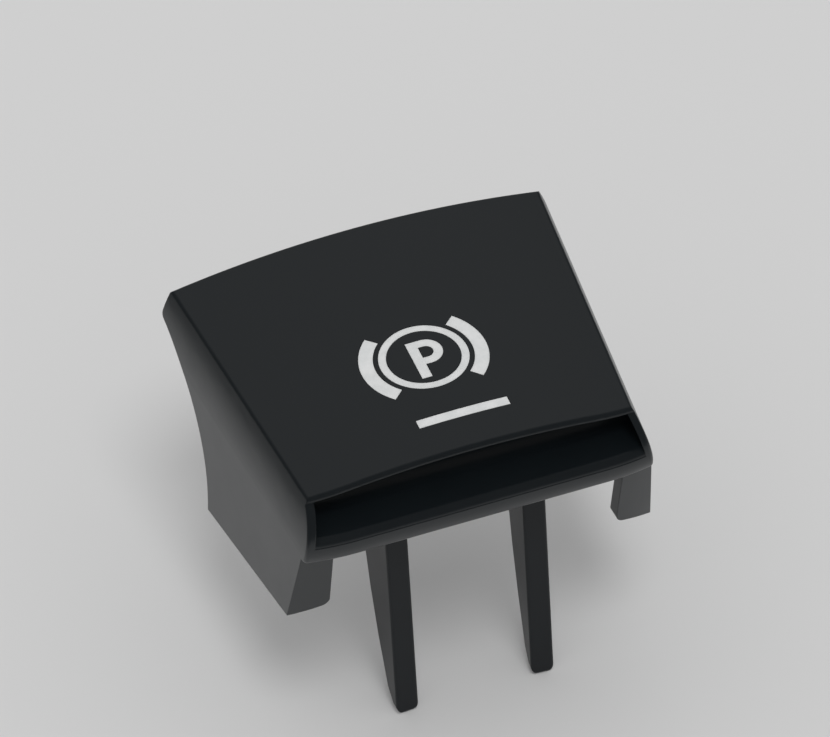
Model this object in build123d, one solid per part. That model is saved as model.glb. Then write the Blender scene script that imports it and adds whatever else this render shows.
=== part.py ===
from build123d import *
from math import cos, radians, sin, sqrt, tan
import os

# Button of a parking brake switch: a hollow black cap with a finger scoop, a lit symbol
# and two long legs, which rocks on a steel pin. All lengths are in millimetres.
# Sizes are measured from the middle of the top's front edge: +X right, +Y to the rear,
# +Z up, with height 0 at the top's front corners. The finished pieces are then moved so
# that the origin is the middle of the pivot pin.

# Top face and cheeks
top_depth = 31.5
front_half_width = 15.5
rear_half_width = 18.0
camber_radius = 101.0
camber_rise = 1.17
camber_climb = 0.0137
flare_height = 5.6
flare_width = 1.38
flare_radius = 15.8
flare_sweep = 32.0
cheek_draft = 3.35
top_edge_radius = 0.4
front_edge_radius = 0.4
wall = 1.6

# Front: a convex face that turns back near the corners, cut away between the two tabs
front_corner_start = 12.0
front_corner_radius = 20.0
front_corner_sweep = 25.0
front_bulge = 2.2
front_bulge_depth = 3.6
lip_set_forward = 1.6
lip_bottom = 6.4
lip_edge_radius = 0.75
lip_under_radius = 0.8
lip_overhang = 0.3
tab_slope = 16.6
tab_inner_half_gap = 13.9
tab_corner_radius = 1.1
tab_bottom_rise = 1.1
tab_bottom_run = 3.7

# Finger scoop
scoop_radius = 1.2
scoop_back_depth = 2.95
scoop_floor_drop = 3.4
scoop_lean = 1.2
scoop_end_wall = 0.7
rim_thickness = 0.5

# Underside and rear
bottom_drop = 15.5
bottom_slope = 6.93
rear_band_height = 3.3
rear_band_lean = 0.5
rear_bow = 0.3
cove_radius = 14.1
cove_center_behind_rear = 3.45
cove_center_drop = 16.7
cove_edge_radius = 0.6
rear_block_depth = 5.5

# Symbol and indicator bar
ring_outer_radius = 4.16
ring_inner_radius = 3.45
arc_outer_radius = 5.97
arc_inner_radius = 4.65
arc_half_angle = 45.0
letter_left = -1.07
letter_stem = 0.95
letter_right = 1.98
letter_height = 4.85
letter_bowl_height = 3.15
letter_counter_height = 1.43
letter_base = -2.67
bar_left = -3.5
bar_right = 5.2
bar_set_forward = 0.575
bar_width = 1.02
shot_gap = 0.02

# Light parts
diffuser_thickness = 0.8
diffuser_margin = 0.75
bar_plate_margin = 0.45
light_gap = 0.1
shroud_wall = 0.7
shroud_gap = 0.39
guide_gap = 0.15
symbol_guide_foot_radius = 2.9
guide_foot_drop = 10.7
symbol_guide_shoulder = 0.6
bar_guide_thickness = 0.85
bar_guide_left = -3.2
bar_guide_right = 4.3
bar_guide_lug = 0.7

# Carrier frame and its stakes
frame_top_drop = 7.6
frame_thickness = 2.6
frame_half_width = 13.0
frame_front = 2.6
frame_wall_gap = 0.65
frame_corner_radius = 1.2
frame_hole_gap = 0.25
stake_radius = 1.0
stake_gap = 0.05
stake_head_radius = 1.7
stake_head_height = 0.7
stake_half_spacing = 10.6
stake_front_inset = 5.0
stake_rear_inset = 2.4

# Pivot
pin_wall_gap = 1.0
pivot_drop = 12.9
pin_radius = 1.25
pin_shoulder = 7.6
pin_end_radius = 1.0
pin_half_length = 14.0
pin_chamfer = 0.25
pin_gap = 0.04
clip_outer_radius = 2.15
clip_inner_face = 4.6
clip_width = 2.6
clip_throat = 2.1
clip_lead = 0.5

# Legs
leg_half_spacing = 6.65
leg_width = 2.2
leg_turn = 4.0
leg_front = 3.05
leg_root_depth = 6.1
leg_mid_depth = 4.72
leg_mid_drop = 21.0
leg_rear_facets = 4
leg_shoulder_depth = 2.1
leg_shoulder_drop = 30.8
leg_tip_radius = 0.35
leg_tip_side_radius = 1.05
leg_tip_drop = 32.9
leg_edge_radius = 0.25
bead_radius = 1.4
bead_set_back = 0.5
seat_gap = 0.05
seat_mouth = 2.5

# A length that reaches past the part on every side
beyond = 60.0

corner_center = Vector(front_corner_start, front_corner_radius, 0)
corner_half_width = front_half_width - front_corner_start
corner_recede = front_corner_radius - sqrt(front_corner_radius**2 - corner_half_width**2)
splay = (rear_half_width - front_half_width) / (top_depth - corner_recede)
scoop_center_depth = scoop_back_depth - scoop_radius
scoop_center_drop = scoop_floor_drop - scoop_radius
hollow_front = scoop_back_depth + wall
hollow_rear = top_depth - rear_block_depth
cove_center_depth = top_depth + cove_center_behind_rear
cove_wall_front = cove_center_depth - cove_radius - wall
pivot_depth = cove_wall_front - pin_wall_gap - pin_radius
frame_rear = cove_wall_front - frame_wall_gap
frame_bottom_drop = frame_top_drop + frame_thickness
stake_depths = (frame_front + stake_front_inset, frame_rear - stake_rear_inset)
bar_guide_front = hollow_front + guide_gap
bar_guide_rear = bar_guide_front + bar_guide_thickness
bar_depth = bar_guide_front + bar_guide_thickness / 2 - bar_set_forward
shroud_radius = arc_outer_radius + diffuser_margin
symbol_depth = bar_guide_rear + shroud_gap + shroud_radius
seat_radius = bead_radius + seat_gap
bead_drop = frame_bottom_drop - sqrt(seat_radius**2 - (seat_mouth / 2) ** 2)


def side_face(*lines):
    """Closes lines given as (depth, height) into a face in the side view."""
    return Plane.YZ * make_face(Curve() + list(lines))


def across(face, half_width=beyond):
    """Carries a side view face straight across the part, the same to both sides."""
    return extrude(face, half_width, both=True)


def slab(x_range, y_range, z_range):
    """A box between two corners given as ranges."""
    size = [high - low for low, high in (x_range, y_range, z_range)]
    middle = [(high + low) / 2 for low, high in (x_range, y_range, z_range)]
    return Pos(*middle) * Box(*size)


def drum(radius, y_center, z_low, z_high, x_center=0.0):
    """An upright cylinder between two heights."""
    length = z_high - z_low
    return Pos(x_center, y_center, (z_high + z_low) / 2) * Cylinder(radius, length)


def round_corners(face):
    """Carries a side view face along the front: straight, then back round each corner."""
    middle = across(face, front_corner_start)
    axis = Axis(corner_center, (0, 0, 1))
    right = revolve(Pos(front_corner_start, 0, 0) * face, axis, front_corner_sweep)
    return middle + right + mirror(right, Plane.YZ)


def under_camber(inset=0.0):
    """Everything below the cambered top, lowered by an inset. The top's middle climbs
    a little to the rear, so that its corners stay level as it gets wider."""
    crown = (0, 0, camber_rise)
    place = Plane(origin=crown, x_dir=(1, 0, 0), z_dir=(0, 1, camber_climb))
    return place * Pos(0, camber_radius, 0) * Cylinder(camber_radius - inset, 4 * beyond)


def between_cheeks(inset=0.0):
    """Everything between the flared, splayed cheeks, brought in by an inset."""
    edge = front_half_width - splay * corner_recede - inset
    shoulder = Vector(edge + flare_width, -flare_height)
    draft = tan(radians(cheek_draft))
    foot = Vector(shoulder.X + draft * beyond, shoulder.Y - beyond)
    flare = JernArc(shoulder, (-draft, 1), flare_radius, flare_sweep)
    outline = [
        Line((-beyond, foot.Y), foot),
        Line(foot, shoulder),
        flare,
        Polyline(flare @ 1, (edge, beyond), (-beyond, beyond), (-beyond, foot.Y)),
    ]
    start = Plane(origin=(-splay * beyond, -beyond, 0), x_dir=(1, 0, 0), z_dir=(0, -1, 0))
    section = start * make_face(Curve() + outline)
    right = extrude(section, 2 * beyond, dir=(splay, 1, 0))
    return right & mirror(right, Plane.YZ)


def above_bottom(raise_by=0.0):
    """Everything above the sloping bottom edge of the cheeks."""
    slope = tan(radians(bottom_slope))
    near = (-beyond, -bottom_drop + slope * beyond + raise_by)
    far = (beyond, -bottom_drop - slope * beyond + raise_by)
    outline = Polyline(near, far, (beyond, beyond), (-beyond, beyond), near)
    return across(side_face(outline))


def front_reach():
    """How far back the curved front reaches before the straight-sided rear takes over."""
    return front_corner_radius / 4


def lip_profile():
    """The convex front face from the rim down to the rounded underside of the lip."""
    nose = (-lip_set_forward, -lip_bottom)
    rim_foot = (0, -rim_thickness)
    back = front_reach()
    face = make_face(Curve() + [
        Line((0, beyond), rim_foot),
        ThreePointArc(rim_foot, (-front_bulge, -front_bulge_depth), nose),
        Polyline(nose, (back, -lip_bottom), (back, beyond), (0, beyond)),
    ])
    face = fillet(face.vertices().sort_by_distance(nose)[0], lip_under_radius)
    return Plane.YZ * face


def tab_profile(inset=0.0):
    """The sloping front face of the tabs, set back a little behind the lip."""
    top = (-lip_set_forward + lip_overhang + inset, -lip_bottom + lip_under_radius)
    foot = (top[0] + beyond * tan(radians(tab_slope)), top[1] - beyond)
    back = beyond / 2
    return side_face(Polyline(top, foot, (back, foot[1]), (back, top[1]), top))


def rear_skin():
    """Everything in front of the rear face, which bows out and leans out downward."""
    radius = (rear_half_width**2 + rear_bow**2) / (2 * rear_bow)
    rear_top = (0, top_depth + rear_bow, 0)
    place = Plane(origin=rear_top, x_dir=(1, 0, 0),
                  z_dir=(0, -rear_band_lean, rear_band_height))
    return place * Pos(0, -radius, 0) * Cylinder(radius, 4 * beyond)


def cove_form(outset=0.0):
    """The round hollow behind the cap, under its rear edge, grown by an outset."""
    radius = cove_radius + outset
    arch = Pos(0, cove_center_depth, -cove_center_drop) * Cylinder(
        radius, 2 * beyond, rotation=(0, 90, 0))
    below = slab((-beyond, beyond), (cove_center_depth - radius, beyond),
                 (-beyond, -cove_center_drop))
    return arch + below


def front_window():
    """The side view area that belongs to the curved front."""
    back = front_reach()
    return side_face(Polyline((-beyond, -beyond), (back, -beyond), (back, beyond),
                              (-beyond, beyond), (-beyond, -beyond)))


def block_form():
    """The cap as if it were solid: front, cheeks, camber, bottom and rear cove."""
    tabs = round_corners(tab_profile() & front_window())
    rear = slab((-beyond, beyond), (front_reach() - wall, beyond), (-beyond, beyond))
    body = (tabs + (rear & rear_skin())) - tab_gap()
    body = body + round_corners(lip_profile())
    return (body & under_camber() & between_cheeks() & above_bottom()) - cove_form()


def hollow_form():
    """The room inside the cap, one wall inside the roof, scoop, cheeks, cove and tabs."""
    below_lip = slab((-beyond, beyond), (-beyond, beyond), (-beyond, -scoop_floor_drop - wall))
    front = round_corners(tab_profile(wall) & front_window()) & below_lip
    room = slab((-beyond, beyond), (hollow_front, hollow_rear), (-beyond, beyond))
    shape = (front + room) & under_camber(wall) & between_cheeks(wall)
    return shape - cove_form(wall)


def scoop_form():
    """The finger scoop under the rim, closed at each end by the cheeks."""
    back = (scoop_back_depth, -scoop_center_drop)
    floor = (scoop_center_depth, -scoop_floor_drop)
    lean = (back[0] - scoop_lean, camber_rise)
    turn = (
        scoop_center_depth + scoop_radius * sin(radians(45)),
        -scoop_center_drop - scoop_radius * cos(radians(45)),
    )
    nose = (-front_bulge, -scoop_floor_drop - lip_edge_radius)
    floor_front = (nose[0] + lip_edge_radius, -scoop_floor_drop)
    far = -beyond / 4
    face = side_face(
        Line((far, nose[1]), nose),
        TangentArc(floor_front, nose, tangent=(-1, 0)),
        Line(floor_front, floor),
        ThreePointArc(floor, turn, back),
        Polyline(back, lean, (far, camber_rise), (far, nose[1])),
    )
    return round_corners(face) & under_camber(rim_thickness) & between_cheeks(scoop_end_wall)


def bowl_outline(left, right, height, grow):
    """A bar with a round right end, level with the letter's bowl."""
    middle = letter_base + letter_height - letter_bowl_height / 2
    radius = height / 2 + grow
    start = left - grow
    end = right - height / 2
    low, high = middle - radius, middle + radius
    return make_face(Curve() + [
        Line((start, low), (end, low)),
        ThreePointArc((end, low), (end + radius, middle), (end, high)),
        Polyline((end, high), (start, high), (start, low)),
    ])


def letter_outline(grow=0.0):
    """The letter P: a stem and a round bowl, grown on all sides by a small amount."""
    stem = Pos(letter_left + letter_stem / 2, letter_base + letter_height / 2) * Rectangle(
        letter_stem + 2 * grow, letter_height + 2 * grow)
    return stem + bowl_outline(letter_left, letter_right, letter_bowl_height, grow)


def counter_outline(grow=0.0):
    """The closed field inside the letter's bowl."""
    stroke = (letter_bowl_height - letter_counter_height) / 2
    return bowl_outline(letter_left + letter_stem, letter_right - stroke,
                        letter_counter_height, grow)


def arc_outline(grow=0.0):
    """The two brake shoe arcs to the left and right of the ring."""
    band = Circle(arc_outer_radius + grow) - Circle(arc_inner_radius - grow)
    reach = 2 * arc_outer_radius
    half = reach * tan(radians(arc_half_angle))
    spread = grow / sin(radians(arc_half_angle))
    wedge = make_face(Polyline((-spread, 0), (reach, half + spread), (reach, -half - spread),
                               (-spread, 0)))
    right = band & wedge
    return right + mirror(right, Plane.YZ)


def through_roof(outline, top_inset=0.0, depth=wall):
    """Stands an outline upright at the symbol's place, between the roof's two faces."""
    post = extrude(Pos(0, symbol_depth, -beyond / 10) * outline, beyond / 5)
    return (post & under_camber(top_inset)) - under_camber(depth)


def bar_outline(grow=0.0):
    """The straight indicator bar, in the symbol's own plane."""
    middle = (bar_left + bar_right) / 2
    return Pos(middle, bar_depth - symbol_depth) * Rectangle(
        bar_right - bar_left + 2 * grow, bar_width + 2 * grow)


def top_face_edges(skin):
    """The edges all round the cambered top."""
    return skin.faces().sort_by(Axis.Z)[-1].edges()


def front_side_edges(skin):
    """The edges between the front face and the cheeks, from the top down to the lip."""
    def is_side(edge):
        middle = edge.center()
        tall = edge.bounding_box().size.Z > lip_bottom / 2
        return abs(middle.X) > front_half_width and tall and middle.Z > -lip_bottom
    return skin.edges().filter_by(is_side).filter_by(lambda e: e.center().Y < hollow_front)


def rear_band_edges(skin):
    """The lower edge of the rear band, where the cove begins."""
    edges = skin.edges().filter_by(lambda e: e.center().Y > top_depth)
    return edges.group_by(Axis.Z)[0]


def outer_shell():
    """The black outer skin: top, cheeks, scoop, lip, tabs, cove wall and stakes."""
    skin = block_form()
    skin = fillet(front_side_edges(skin), front_edge_radius)
    skin = fillet(top_face_edges(skin), top_edge_radius)
    skin = fillet(rear_band_edges(skin), cove_edge_radius)
    skin = skin - scoop_form() - hollow_form()
    lights = ring_opening() + through_roof(arc_outline(shot_gap)) + bar_opening()
    skin = skin - lights - bar_pocket()
    for side in (-1, 1):
        for depth in stake_depths:
            skin = skin + stake(side * stake_half_spacing, depth)
    return skin


def tab_gap():
    """The opening under the lip, between two tabs whose bottom edges rise inward.

    It is cut along the slope of the underside, so that no step is left beside it.
    """
    slope = tan(radians(bottom_slope))
    low = -bottom_drop - slope * hollow_front
    inner = (tab_inner_half_gap, low + tab_bottom_rise)
    outer = (tab_inner_half_gap + tab_bottom_run, low)
    high = -lip_bottom + lip_under_radius - slope * hollow_front
    half = make_face(Polyline(
        (0, high), (tab_inner_half_gap, high), inner, outer,
        (outer[0], -beyond), (0, -beyond), (0, high),
    ))
    half = fillet(half.vertices().sort_by_distance(inner)[0], tab_corner_radius)
    both = half + mirror(half, Plane.YZ)
    start = Plane(origin=(0, hollow_front, 0), x_dir=(1, 0, 0), z_dir=(0, -1, 0))
    return extrude(start * both, beyond, dir=(0, -1, slope))


def ring_opening():
    """The round hole that holds the ring, the letter and the fields between them."""
    return through_roof(Circle(ring_outer_radius + shot_gap))


def bar_opening():
    """The slot for the indicator bar."""
    return through_roof(bar_outline(shot_gap))


def bar_plate_range():
    """Front and rear limits of the plate under the indicator bar."""
    half = bar_width / 2 + bar_plate_margin
    return bar_depth - half, bar_depth + half


def bar_pocket():
    """Room in the front wall for the plate under the indicator bar."""
    near, far = bar_plate_range()
    side = bar_plate_margin + light_gap
    box = slab((bar_left - side, bar_right + side), (near - light_gap, far + light_gap),
               (-wall - diffuser_thickness / 2, beyond / 10))
    return box & under_camber(wall)


def stake(x, y):
    """One heat stake that holds the frame: a stem from the roof and a melted head."""
    head_top = -frame_bottom_drop - light_gap
    stem = drum(stake_radius, y, head_top, -wall / 4, x)
    head = drum(stake_head_radius, y, head_top - stake_head_height, head_top, x)
    rounded = fillet(head.edges().group_by(Axis.Z)[0], stake_head_height * 0.9)
    return stem + rounded


def symbol_diffuser():
    """The milky plate whose ring, letter and arcs come up through the black roof."""
    ring = Circle(ring_outer_radius) - Circle(ring_inner_radius)
    letter = letter_outline() - counter_outline()
    raised = ring + letter + arc_outline()
    plate = through_roof(Circle(shroud_radius), wall + shot_gap,
                         wall + shot_gap + diffuser_thickness)
    return plate + through_roof(raised, 0.0, wall + diffuser_thickness / 2)


def ring_field():
    """The black field inside the ring, around the letter."""
    outline = Circle(ring_inner_radius - shot_gap) - letter_outline(shot_gap)
    return through_roof(outline)


def letter_field():
    """The small black field inside the letter's bowl."""
    return through_roof(counter_outline(-shot_gap))


def bar_diffuser():
    """The milky indicator bar and the plate that carries it under the roof."""
    middle = (bar_left + bar_right) / 2
    length = bar_right - bar_left + 2 * bar_plate_margin
    plate = Pos(middle, bar_depth - symbol_depth) * Rectangle(
        length, bar_width + 2 * bar_plate_margin)
    upper = wall + shot_gap
    low = through_roof(plate, upper, upper + diffuser_thickness / 2)
    return low + through_roof(bar_outline(), 0.0, upper + diffuser_thickness / 4)


def light_shroud():
    """The tube that keeps the symbol's light apart from the indicator's light."""
    roof_gap = wall + shot_gap + diffuser_thickness + light_gap
    tube = drum(shroud_radius, symbol_depth, -frame_top_drop, camber_rise)
    bore = drum(shroud_radius - shroud_wall, symbol_depth, -frame_top_drop, camber_rise)
    return ((tube - bore) & under_camber(roof_gap)) - cove_form(wall + light_gap)


def symbol_light_guide():
    """The clear cone that carries light from the circuit board up to the symbol."""
    head = shroud_radius - shroud_wall - guide_gap
    high = camber_rise
    rim = camber_rise - wall - 2 * diffuser_thickness
    foot = -guide_foot_drop
    seat = -frame_top_drop
    shoulder = symbol_guide_foot_radius + symbol_guide_shoulder
    outline = Polyline((0, high), (head, high), (head, rim), (shoulder, seat),
                       (symbol_guide_foot_radius, seat), (symbol_guide_foot_radius, foot),
                       (0, foot), (0, high))
    turned = revolve(Plane.XZ * make_face(outline), Axis.Z, 360)
    roof_gap = wall + shot_gap + diffuser_thickness + light_gap
    return (Pos(0, symbol_depth, 0) * turned) & under_camber(roof_gap)


def bar_light_guide():
    """The clear blade that carries light up to the indicator bar."""
    faces = (bar_guide_front, bar_guide_rear)
    sides = (bar_guide_left, bar_guide_right)
    blade = slab(sides, faces, (-guide_foot_drop, beyond / 10))
    ceiling = wall + shot_gap + diffuser_thickness / 2 + light_gap
    lugs = slab((bar_guide_left - bar_guide_lug, bar_guide_right + bar_guide_lug),
                faces, (-frame_top_drop, -frame_top_drop + bar_guide_lug))
    return (blade & under_camber(ceiling)) + lugs


def leg_place(side):
    """Where a leg stands: its front face's middle, turned in line with its cheek."""
    return Pos(side * leg_half_spacing, leg_front, 0) * Rot(0, 0, -side * leg_turn)


def carrier_frame():
    """The frame staked under the roof, with leg seats and two clips for the pivot pin."""
    low, high = -frame_bottom_drop, -frame_top_drop
    plate = slab((-frame_half_width, frame_half_width), (frame_front, frame_rear), (low, high))
    plate = fillet(plate.edges().filter_by(Axis.Z), frame_corner_radius)
    light_hole = drum(symbol_guide_foot_radius + frame_hole_gap, symbol_depth, low, high)
    slot = slab((bar_guide_left - frame_hole_gap, bar_guide_right + frame_hole_gap),
                (bar_guide_front - frame_hole_gap, bar_guide_rear + frame_hole_gap), (low, high))
    plate = plate - light_hole - slot
    for side in (-1, 1):
        for depth in stake_depths:
            hole = drum(stake_radius + stake_gap, depth, low, high, side * stake_half_spacing)
            plate = plate - hole
        plate = plate - leg_seat(side) + pivot_clip(side)
    return plate


def bead(radius, end_gap=0.0):
    """A round bar lying front to rear, as long as a leg is deep at its root."""
    length = leg_root_depth - bead_set_back + 2 * end_gap
    middle = (leg_root_depth + bead_set_back) / 2
    return Pos(0, middle, -bead_drop) * Cylinder(radius, length, rotation=(90, 0, 0))


def leg_seat(side):
    """The round seat that a leg's bead snaps into, open below through a narrow mouth."""
    return leg_place(side) * bead(seat_radius, seat_gap)


def pivot_clip(side):
    """A hanging arm with an open round jaw that snaps over the pivot pin."""
    middle = side * (clip_inner_face + clip_width / 2)
    jaw = Pos(middle, pivot_depth, -pivot_drop) * Cylinder(
        clip_outer_radius, clip_width, rotation=(0, 90, 0))
    arm = slab((middle - clip_width / 2, middle + clip_width / 2),
               (pivot_depth - clip_outer_radius, frame_rear),
               (-pivot_drop, -frame_bottom_drop + frame_thickness / 4))
    reach_back = slab((middle - clip_width / 2, middle + clip_width / 2),
                      (pivot_depth + clip_outer_radius, beyond),
                      (-beyond, -frame_bottom_drop))
    bore = Pos(middle, pivot_depth, -pivot_drop) * Cylinder(
        pin_radius + pin_gap, 2 * clip_width, rotation=(0, 90, 0))
    throat = slab((middle - clip_width, middle + clip_width),
                  (pivot_depth - clip_throat / 2, pivot_depth + clip_throat / 2),
                  (-pivot_drop - 2 * clip_outer_radius, -pivot_drop))
    mouth_low = -pivot_drop - clip_outer_radius
    half_throat = clip_throat / 2
    lead = across(side_face(Polyline(
        (pivot_depth - half_throat - clip_lead, mouth_low),
        (pivot_depth + half_throat + clip_lead, mouth_low),
        (pivot_depth, mouth_low + half_throat + clip_lead),
        (pivot_depth - half_throat - clip_lead, mouth_low),
    )))
    return jaw + (arm - reach_back) - bore - throat - lead


def pivot_pin():
    """The steel pin on which the button rocks. Its thinner ends go in the switch below."""
    middle = Cylinder(pin_radius, 2 * pin_shoulder, rotation=(0, 90, 0))
    ends = Cylinder(pin_end_radius, 2 * pin_half_length, rotation=(0, 90, 0))
    tips = ends.edges().filter_by(GeomType.CIRCLE)
    return Pos(0, pivot_depth, -pivot_drop) * (middle + chamfer(tips, pin_chamfer))


def leg(side):
    """A long blade with a straight front, a curved rear edge, a round tip and a bead."""
    tip_height = -leg_tip_drop + leg_tip_radius
    tip_back = (2 * leg_tip_radius, tip_height)
    shoulder = (leg_shoulder_depth, -leg_shoulder_drop)
    root = (leg_root_depth, -bead_drop)
    neck = (bead_set_back, -frame_bottom_drop - seat_gap)
    front_top = (0, neck[1] - bead_set_back)
    rear = ThreePointArc(shoulder, (leg_mid_depth, -leg_mid_drop), root)
    profile = side_face(
        Polyline((bead_set_back, -bead_drop), neck, front_top, (0, tip_height)),
        ThreePointArc((0, tip_height), (leg_tip_radius, -leg_tip_drop), tip_back),
        Line(tip_back, shoulder),
        Polyline(*(rear @ (place / leg_rear_facets) for place in range(leg_rear_facets + 1))),
        Line(root, (bead_set_back, -bead_drop)),
    )
    blade = extrude(profile, leg_width / 2, both=True)
    low = blade.edges().filter_by(lambda e: e.center().Z < front_top[1] - seat_gap)
    blade = fillet(low.filter_by(lambda e: abs(e.center().X) > leg_width / 4),
                   leg_edge_radius)
    front = Pos(0, beyond / 2 - leg_tip_drop) * Rectangle(leg_width, beyond)
    tips = front.vertices().group_by(Axis.Y)[0]
    blade = blade & extrude(Plane.XZ * fillet(tips, leg_tip_side_radius), beyond, both=True)
    return leg_place(side) * (blade + bead(bead_radius))


def left_leg():
    """The leg on the left, seen from the front."""
    return leg(-1)


def right_leg():
    """The leg on the right, seen from the front."""
    return leg(1)


pieces = {
    "outer_shell": outer_shell,
    "symbol_diffuser": symbol_diffuser,
    "ring_field": ring_field,
    "letter_field": letter_field,
    "bar_diffuser": bar_diffuser,
    "light_shroud": light_shroud,
    "symbol_light_guide": symbol_light_guide,
    "bar_light_guide": bar_light_guide,
    "carrier_frame": carrier_frame,
    "pivot_pin": pivot_pin,
    "left_leg": left_leg,
    "right_leg": right_leg,
}

os.makedirs("parts", exist_ok=True)
for name, make in pieces.items():
    made = Pos(0, -pivot_depth, pivot_drop) * make()
    export_step(made, os.path.join("parts", name + ".step"))
    print(name, round(made.volume, 2), len(made.solids()))
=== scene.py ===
import json
import logging
import math
from collections.abc import Sequence
from dataclasses import dataclass, field
from enum import Enum
from typing import Any

import bpy
import numpy as np
from mathutils import Matrix, Vector


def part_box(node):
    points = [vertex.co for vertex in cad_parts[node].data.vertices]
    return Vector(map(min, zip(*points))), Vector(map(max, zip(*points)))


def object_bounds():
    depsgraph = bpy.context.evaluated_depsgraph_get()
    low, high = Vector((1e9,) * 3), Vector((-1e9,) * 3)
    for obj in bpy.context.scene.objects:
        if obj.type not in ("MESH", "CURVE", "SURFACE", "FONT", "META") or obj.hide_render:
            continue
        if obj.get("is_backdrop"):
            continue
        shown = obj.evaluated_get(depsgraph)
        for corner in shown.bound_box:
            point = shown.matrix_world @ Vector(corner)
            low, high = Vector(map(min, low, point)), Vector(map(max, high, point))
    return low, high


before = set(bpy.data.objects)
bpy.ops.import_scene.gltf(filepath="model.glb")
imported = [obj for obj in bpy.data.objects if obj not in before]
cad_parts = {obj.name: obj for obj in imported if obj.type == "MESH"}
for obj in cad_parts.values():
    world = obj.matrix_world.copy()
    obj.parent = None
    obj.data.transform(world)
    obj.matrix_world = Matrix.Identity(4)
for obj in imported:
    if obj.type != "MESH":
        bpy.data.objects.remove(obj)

START_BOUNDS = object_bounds()
MM = 0.001
IMAGE_WIDTH_PX = 830
# Most of a noise texture's values lie between these two
NOISE_LOW = 0.3
NOISE_HIGH = 0.7
log = logging.getLogger("parking_brake_button")


class Slot(Enum):
    """Material slots of the part's record."""

    SHELL = "shell_black"
    DIFFUSER = "diffuser_milky"
    FRAME = "frame_black"
    GUIDE = "guide_clear"
    LEG = "leg_black"
    PIN = "pin_steel"


def linear_colour(code: str) -> tuple[float, float, float, float]:
    """Turns an sRGB colour code into Blender's linear colour.

    Args:
        code: Six hexadecimal digits, with or without a leading #.

    Returns:
        Red, green, blue and an alpha of one.
    """
    channels = [int(code.lstrip("#")[i:i + 2], 16) / 255 for i in (0, 2, 4)]
    linear = [c / 12.92 if c <= 0.04045 else ((c + 0.055) / 1.055) ** 2.4 for c in channels]
    return (*linear, 1.0)


class ShaderGraph:
    """A node tree of a material or a world, with one way to add and wire nodes."""

    def __init__(self, name: str, store: Any = None,
                 output: str = "ShaderNodeOutputMaterial") -> None:
        """Starts an empty node tree.

        Args:
            name: The material's or world's name.
            store: Where it is made: the file's materials, or its worlds.
            output: Blender's name of the output node type.
        """
        self.owner = (bpy.data.materials if store is None else store).new(name)
        self.owner.use_nodes = True
        self.output = output
        self.tree = self.owner.node_tree
        self.tree.nodes.clear()

    def node(self, kind: str, inputs: dict[Any, Any] | None = None,
             output: int | str | None = 0, stops: Sequence[tuple[float, Any]] = (),
             **settings: Any) -> bpy.types.NodeSocket | None:
        """Adds a node, sets it up and returns one of its outputs.

        Args:
            kind: Blender's name of the node type.
            inputs: Values or sockets by input name or number.
            output: Which output to hand back, if any.
            stops: Position and colour pairs in rising order, for a colour ramp.
            **settings: Attributes of the node itself.

        Returns:
            The asked output socket, or nothing where none was asked.
        """
        node = self.tree.nodes.new(kind)
        for key, value in settings.items():
            setattr(node, key, value)
        for key, value in (inputs or {}).items():
            if isinstance(value, bpy.types.NodeSocket):
                self.tree.links.new(value, node.inputs[key])
            else:
                node.inputs[key].default_value = value
        for number, (place, colour) in enumerate(stops):
            steps = node.color_ramp.elements
            step = steps[number] if number < len(steps) else steps.new(place)
            step.position = place
            step.color = colour
        return None if output is None else node.outputs[output]

    def finish(self, shader: bpy.types.NodeSocket) -> Any:
        """Wires the shader to the output.

        Args:
            shader: The finished shader socket.

        Returns:
            The material or world.
        """
        self.node(self.output, {"Surface": shader}, output=None)
        return self.owner


@dataclass(frozen=True)
class MouldedPlastic:
    """Opaque moulded plastic with a fine spark-eroded grain and slight handling wear."""

    name: str
    colour: str
    worn_colour: str
    roughness: float = 0.32
    roughness_spread: float = 0.02
    ior: float = 1.5
    specular: float = 0.5
    grain_mm: float = 0.11
    grain_depth_mm: float = 0.0035
    grain_strength: float = 0.6
    cloud_mm: float = 6.0
    edge_round_mm: float = 0.15

    def build(self) -> bpy.types.Material:
        """Makes the material.

        Returns:
            A procedural plastic.
        """
        g = ShaderGraph(self.name)
        place = g.node("ShaderNodeTexCoord", output="Object")
        clouds = g.node("ShaderNodeTexNoise", {
            "Vector": place, "Scale": 1 / (self.cloud_mm * MM), "Detail": 5.0, "Roughness": 0.6})
        grain = g.node("ShaderNodeTexNoise", {
            "Vector": place, "Scale": 1 / (self.grain_mm * MM), "Detail": 3.0, "Roughness": 0.7})
        colour = g.node("ShaderNodeValToRGB", {"Fac": clouds}, stops=[
            (0.30, linear_colour(self.colour)), (0.75, linear_colour(self.worn_colour))])
        rough = g.node("ShaderNodeMapRange", {
            0: clouds, 1: NOISE_LOW, 2: NOISE_HIGH,
            3: self.roughness - self.roughness_spread, 4: self.roughness + self.roughness_spread})
        soft = g.node("ShaderNodeBevel", {"Radius": self.edge_round_mm * MM}, samples=6)
        bumped = g.node("ShaderNodeBump", {
            "Height": grain, "Strength": self.grain_strength,
            "Distance": self.grain_depth_mm * MM, "Normal": soft})
        shader = g.node("ShaderNodeBsdfPrincipled", {
            "Base Color": colour, "Roughness": rough, "IOR": self.ior,
            "Specular IOR Level": self.specular, "Normal": bumped})
        return g.finish(shader)


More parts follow.
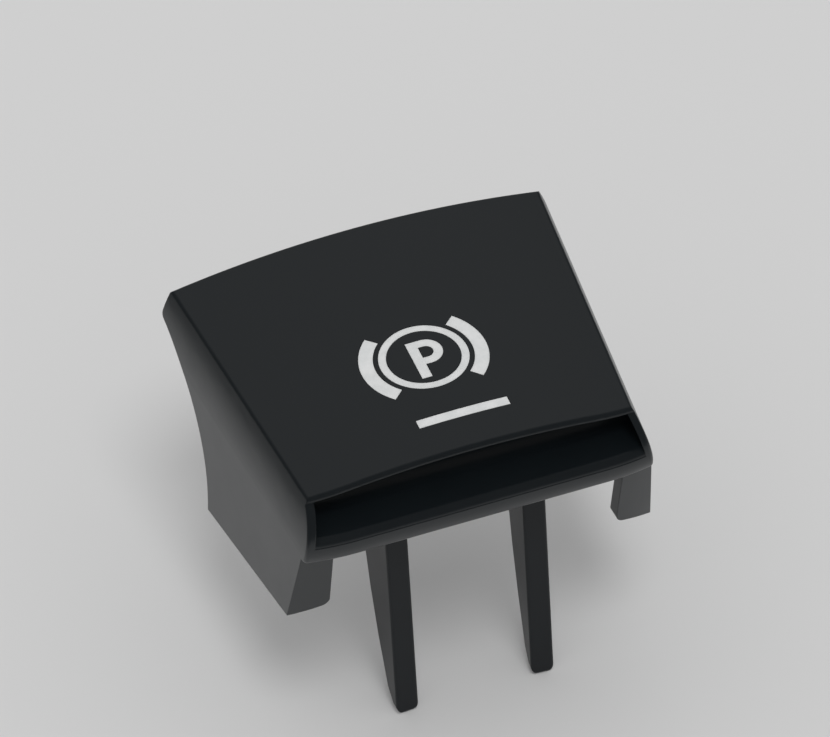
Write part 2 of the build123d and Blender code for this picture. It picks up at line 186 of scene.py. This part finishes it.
@dataclass(frozen=True)
class MilkyPlastic:
    """Light-spreading white plastic: bright, slightly translucent, with faint flow marks."""

    name: str
    colour: str
    shade_colour: str
    roughness: float = 0.35
    ior: float = 1.49
    flow_mm: float = 1.11
    flow_depth_mm: float = 0.01
    flow_strength: float = 0.3
    glow_share: float = 0.25
    glow_depth_mm: float = 0.6

    def build(self) -> bpy.types.Material:
        """Makes the material.

        Returns:
            A procedural milky plastic.
        """
        g = ShaderGraph(self.name)
        place = g.node("ShaderNodeTexCoord", output="Object")
        flow = g.node("ShaderNodeTexNoise", {
            "Vector": place, "Scale": 1 / (self.flow_mm * MM), "Detail": 4.0, "Roughness": 0.55})
        colour = g.node("ShaderNodeValToRGB", {"Fac": flow}, stops=[
            (0.35, linear_colour(self.shade_colour)), (0.65, linear_colour(self.colour))])
        bumped = g.node("ShaderNodeBump", {
            "Height": flow, "Strength": self.flow_strength, "Distance": self.flow_depth_mm * MM})
        shader = g.node("ShaderNodeBsdfPrincipled", {
            "Base Color": colour, "Roughness": self.roughness, "IOR": self.ior,
            "Subsurface Weight": self.glow_share,
            "Subsurface Radius": (self.glow_depth_mm * MM,) * 3,
            "Subsurface Scale": 1.0, "Normal": bumped})
        return g.finish(shader)


@dataclass(frozen=True)
class ClearAcrylic:
    """Polished clear plastic of the light guides, with a trace of haze."""

    name: str
    tint: str
    ior: float = 1.49
    clearness: float = 0.92
    haze_mm: float = 1.43
    smoothest: float = 0.03
    haziest: float = 0.12

    def build(self) -> bpy.types.Material:
        """Makes the material.

        Returns:
            A procedural clear plastic.
        """
        g = ShaderGraph(self.name)
        place = g.node("ShaderNodeTexCoord", output="Object")
        haze = g.node("ShaderNodeTexNoise", {
            "Vector": place, "Scale": 1 / (self.haze_mm * MM), "Detail": 3.0})
        rough = g.node("ShaderNodeMapRange", {
            0: haze, 1: NOISE_LOW, 2: NOISE_HIGH, 3: self.smoothest, 4: self.haziest})
        shader = g.node("ShaderNodeBsdfPrincipled", {
            "Base Color": linear_colour(self.tint), "Roughness": rough, "IOR": self.ior,
            "Transmission Weight": self.clearness})
        return g.finish(shader)


@dataclass(frozen=True)
class GroundSteel:
    """Centreless-ground steel: bright, with fine rings round the pin.

    The real rings are finer than 0.05 mm, and are drawn as coarse as they need to show.
    """

    name: str
    colour: str
    ring_pitch_mm: float = 0.05
    ring_stretch: float = 20.0
    ring_depth_mm: float = 0.002
    ring_strength: float = 0.2
    smoothest: float = 0.16
    roughest: float = 0.30

    def build(self) -> bpy.types.Material:
        """Makes the material.

        Returns:
            A procedural ground steel.
        """
        g = ShaderGraph(self.name)
        place = g.node("ShaderNodeTexCoord", output="Object")
        stretched = g.node("ShaderNodeMapping", {
            "Vector": place, "Scale": (1.0, 1 / self.ring_stretch, 1 / self.ring_stretch)})
        rings = g.node("ShaderNodeTexNoise", {
            "Vector": stretched, "Scale": 1 / (self.ring_pitch_mm * MM), "Detail": 4.0})
        rough = g.node("ShaderNodeMapRange", {
            0: rings, 1: NOISE_LOW, 2: NOISE_HIGH, 3: self.smoothest, 4: self.roughest})
        bumped = g.node("ShaderNodeBump", {
            "Height": rings, "Strength": self.ring_strength,
            "Distance": self.ring_depth_mm * MM})
        shader = g.node("ShaderNodeBsdfPrincipled", {
            "Base Color": linear_colour(self.colour), "Metallic": 1.0, "Roughness": rough,
            "Normal": bumped})
        return g.finish(shader)


@dataclass(frozen=True)
class StudioPaper:
    """Seamless pale paper with a barely visible tooth.

    A real tooth is finer than 0.2 mm, and it is drawn as coarse as it needs to show.
    """

    name: str
    colour: str
    roughness: float = 0.9
    specular: float = 0.2
    tooth_mm: float = 0.667
    tooth_depth_mm: float = 0.05
    tooth_strength: float = 0.05

    def build(self) -> bpy.types.Material:
        """Makes the material.

        Returns:
            A procedural matt paper.
        """
        g = ShaderGraph(self.name)
        place = g.node("ShaderNodeTexCoord", output="Object")
        tooth = g.node("ShaderNodeTexNoise", {
            "Vector": place, "Scale": 1 / (self.tooth_mm * MM), "Detail": 4.0})
        bumped = g.node("ShaderNodeBump", {
            "Height": tooth, "Strength": self.tooth_strength,
            "Distance": self.tooth_depth_mm * MM})
        shader = g.node("ShaderNodeBsdfPrincipled", {
            "Base Color": linear_colour(self.colour), "Roughness": self.roughness,
            "Specular IOR Level": self.specular, "Normal": bumped})
        return g.finish(shader)


@dataclass
class Finishes:
    """Every finish of the object, made once and handed out by record slot."""

    made: dict[Slot, bpy.types.Material] = field(default_factory=dict)

    def build(self) -> None:
        """Makes one material per record slot."""
        self.made = {
            # Moulded ABS with a fine spark-eroded grain: satin, a cool black, no sharp glints
            Slot.SHELL: MouldedPlastic(
                "satin_black_abs", "#13181b", "#151a1d").build(),
            # Moulded acetal inner frame, ungrained, so its surfaces look plain and even
            Slot.FRAME: MouldedPlastic(
                "plain_black_acetal", "#141719", "#181b1d", roughness=0.34,
                grain_depth_mm=0.001).build(),
            # Glass-filled nylon: duller than the cap, as its fibres break up the shine
            Slot.LEG: MouldedPlastic(
                "grey_black_nylon", "#121619", "#15181b", roughness=0.38,
                specular=0.26).build(),
            # Milky polycarbonate: bright and even, with a soft edge where light enters
            Slot.DIFFUSER: MilkyPlastic("milky_polycarbonate", "#e3e4e4", "#d9dbdb").build(),
            # Polished clear acrylic: sharp reflections and a faint cool tint
            Slot.GUIDE: ClearAcrylic("clear_acrylic", "#f4f8f8").build(),
            # Centreless-ground steel: bright, with fine rings round the pin
            Slot.PIN: GroundSteel("ground_steel", "#b9bbbd").build(),
        }

    def dress(self, node: str, slot: Slot) -> None:
        """Gives a CAD node its finish.

        Args:
            node: The CAD node's name.
            slot: The record slot whose finish it takes.
        """
        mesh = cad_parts[node].data
        mesh.materials.clear()
        mesh.materials.append(self.made[slot])
        log.info("%s finished as %s", node, self.made[slot].name)


def mesh_from_grid(name: str, points: np.ndarray) -> bpy.types.Object:
    """Makes a mesh object from a grid of points.

    Args:
        name: The object's name.
        points: An array of rows by columns by three coordinates, in metres.

    Returns:
        The linked object, at the origin.
    """
    rows, columns, _ = points.shape
    index = np.arange(rows * columns).reshape(rows, columns)
    quads = np.stack([index[:-1, :-1], index[:-1, 1:], index[1:, 1:], index[1:, :-1]], axis=-1)
    mesh = bpy.data.meshes.new(name)
    mesh.from_pydata(points.reshape(-1, 3).tolist(), [], quads.reshape(-1, 4).tolist())
    mesh.shade_smooth()
    thing = bpy.data.objects.new(name, mesh)
    bpy.context.scene.collection.objects.link(thing)
    return thing


@dataclass
class Assembly:
    """A sub-assembly of the button: the CAD nodes it holds and the finish of each."""

    finishes: Finishes
    nodes: dict[str, Slot] = field(default_factory=dict)

    def build(self) -> None:
        """Finishes every CAD node of the sub-assembly."""
        for node, slot in self.nodes.items():
            self.finishes.dress(node, slot)


@dataclass
class CapShell(Assembly):
    """The black outer skin and the black fields inside the symbol."""

    nodes: dict[str, Slot] = field(default_factory=lambda: {
        "outer_shell": Slot.SHELL, "ring_field": Slot.SHELL, "letter_field": Slot.SHELL})


@dataclass
class LightParts(Assembly):
    """Diffusers, clear guides and the tube that parts the two lights."""

    nodes: dict[str, Slot] = field(default_factory=lambda: {
        "symbol_diffuser": Slot.DIFFUSER, "bar_diffuser": Slot.DIFFUSER,
        "symbol_light_guide": Slot.GUIDE, "bar_light_guide": Slot.GUIDE,
        "light_shroud": Slot.FRAME})


@dataclass
class Carrier(Assembly):
    """The inner frame and the pin that it rocks on."""

    nodes: dict[str, Slot] = field(default_factory=lambda: {
        "carrier_frame": Slot.FRAME, "pivot_pin": Slot.PIN})


@dataclass
class Legs(Assembly):
    """The two long legs below the cap."""

    nodes: dict[str, Slot] = field(default_factory=lambda: {
        "left_leg": Slot.LEG, "right_leg": Slot.LEG})


@dataclass
class Studio:
    """A sheet of pale paper under the legs, a soft key light and a pale surround.

    Reflections show a soft ceiling: its steps pair the nearness of a direction to
    the ceiling's middle with the brightness seen there.
    """

    floor_gap_mm: float = 0.02
    floor_x_mm: tuple[float, float] = (-72.0, 115.0)
    floor_y_mm: tuple[float, float] = (-115.0, 115.0)
    floor_lines: int = 9
    key_from: tuple[float, float, float] = (-0.03, -0.48, 0.88)
    key_size_deg: float = 20.0
    key_strength: float = 0.88
    ceiling_from: tuple[float, float, float] = (0.12, 0.74, 0.66)
    ceiling_steps: tuple[tuple[float, float], ...] = (
        (0.0, 0.10), (0.70, 0.10), (0.84, 0.22), (0.95, 0.45))
    backdrop_level: float = 0.604
    fill_level: float = 0.82

    def build(self) -> None:
        """Builds the floor, the light and the surroundings."""
        self.build_floor()
        self.build_world()
        self.add_key_light()

    def build_floor(self) -> None:
        """Lays the paper just under the leg tips.

        A point is an even step across, an even step along and the same height everywhere.
        """
        low = min(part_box(leg)[0].z for leg in ("left_leg", "right_leg")) - self.floor_gap_mm * MM
        across, along = np.meshgrid(*(np.linspace(*side, self.floor_lines) * MM
                                      for side in (self.floor_x_mm, self.floor_y_mm)))
        floor = mesh_from_grid("paper_floor", np.stack(
            [across, along, np.full_like(across, low)], axis=-1))
        # Uncoated paper: matt and even, so that it keeps the soft shadow
        floor.data.materials.append(StudioPaper("pale_grey_paper", "#dadada").build())
        floor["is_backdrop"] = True
        log.info("paper floor laid")

    def build_world(self) -> None:
        """Sets a pale backdrop, an even fill and, in reflections, a soft ceiling behind."""
        g = ShaderGraph("studio_air", bpy.data.worlds, "ShaderNodeOutputWorld")
        towards = g.node("ShaderNodeTexCoord", output="Generated")
        nearness = g.node("ShaderNodeVectorMath", {0: towards, 1: self.ceiling_from},
                          output="Value", operation="DOT_PRODUCT")
        ceiling = g.node("ShaderNodeValToRGB", {"Fac": nearness}, stops=[
            (place, (level, level, level, 1)) for place, level in self.ceiling_steps])
        in_mirror = g.node("ShaderNodeLightPath", output="Is Glossy Ray")
        in_camera = g.node("ShaderNodeLightPath", output="Is Camera Ray")
        lit = g.node("ShaderNodeMix", {0: in_mirror, 2: self.fill_level, 3: ceiling})
        level = g.node("ShaderNodeMix", {0: in_camera, 2: lit, 3: self.backdrop_level})
        bpy.context.scene.world = g.finish(g.node("ShaderNodeBackground", {"Strength": level}))
        log.info("surround set")

    def add_key_light(self) -> None:
        """Adds the key light along the direction of the photographed shadow.

        It casts light and shadow but no highlight, because the photographed edges have none.
        """
        data = bpy.data.lights.new("key_light", "SUN")
        data.angle = math.radians(self.key_size_deg)
        data.energy = self.key_strength
        light = bpy.data.objects.new("key_light", data)
        light.matrix_world = Vector(self.key_from).to_track_quat("Z", "Y").to_matrix().to_4x4()
        light.visible_glossy = False
        bpy.context.scene.collection.objects.link(light)
        log.info("key light placed")


@dataclass(frozen=True)
class PhotoCamera:
    """The photograph's viewpoint, recovered from the object's own symmetry."""

    eye_mm: tuple[float, float, float] = (-158.431, -511.367, 503.247)
    right: tuple[float, float, float] = (0.94022, -0.33733, -0.04677)
    up: tuple[float, float, float] = (0.26163, 0.62757, 0.73328)
    focal_px: float = 7960.7
    sensor_mm: float = 36.0
    nearest_mm: float = 10.0
    farthest_mm: float = 20000.0

    def build(self) -> None:
        """Places the camera and makes it the scene's own."""
        data = bpy.data.cameras.new("photo_camera")
        data.sensor_width = self.sensor_mm
        data.lens = self.focal_px / IMAGE_WIDTH_PX * self.sensor_mm
        data.clip_start = self.nearest_mm * MM
        data.clip_end = self.farthest_mm * MM
        camera = bpy.data.objects.new("photo_camera", data)
        right = Vector(self.right).normalized()
        up = (Vector(self.up) - right * right.dot(Vector(self.up))).normalized()
        turn = Matrix((right, up, right.cross(up))).transposed().to_4x4()
        camera.matrix_world = Matrix.Translation(Vector(self.eye_mm) * MM) @ turn
        bpy.context.scene.collection.objects.link(camera)
        bpy.context.scene.camera = camera
        log.info("camera placed")


def plain_lines(bounds: Any) -> Any:
    """Turns a bounds value into plain numbers.


    Returns:
        The same numbers, rounded, in plain lists.
    """
    if isinstance(bounds, (int, float)):
        return round(float(bounds), 6)
    if isinstance(bounds, str):
        return bounds
    if isinstance(bounds, dict):
        return {key: plain_lines(value) for key, value in bounds.items()}
    return [plain_lines(value) for value in bounds]


def write_sizes(start: Any, end: Any) -> None:
    """Turns the object's bounds before and after the build into JSON text, which is not kept or
    written anywhere.

    Args:
        start: Bounds right after the frame was loaded.
        end: Bounds just before the script's end.
    """
    lines = json.dumps({"after_load": plain_lines(start),
                        "before_finish": plain_lines(end)}, indent=1)


def main() -> None:
    """Builds the button's looks, the studio and the camera, in order."""
    logging.basicConfig(level=logging.INFO, format="%(name)s: %(message)s")
    bpy.context.scene.view_settings.view_transform = "Standard"
    finishes = Finishes()
    finishes.build()
    for assembly in (CapShell, LightParts, Carrier, Legs):
        assembly(finishes).build()
        log.info("%s done", assembly.__name__)
    Studio().build()
    PhotoCamera().build()
    write_sizes(START_BOUNDS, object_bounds())


if __name__ == "__main__":
    main()
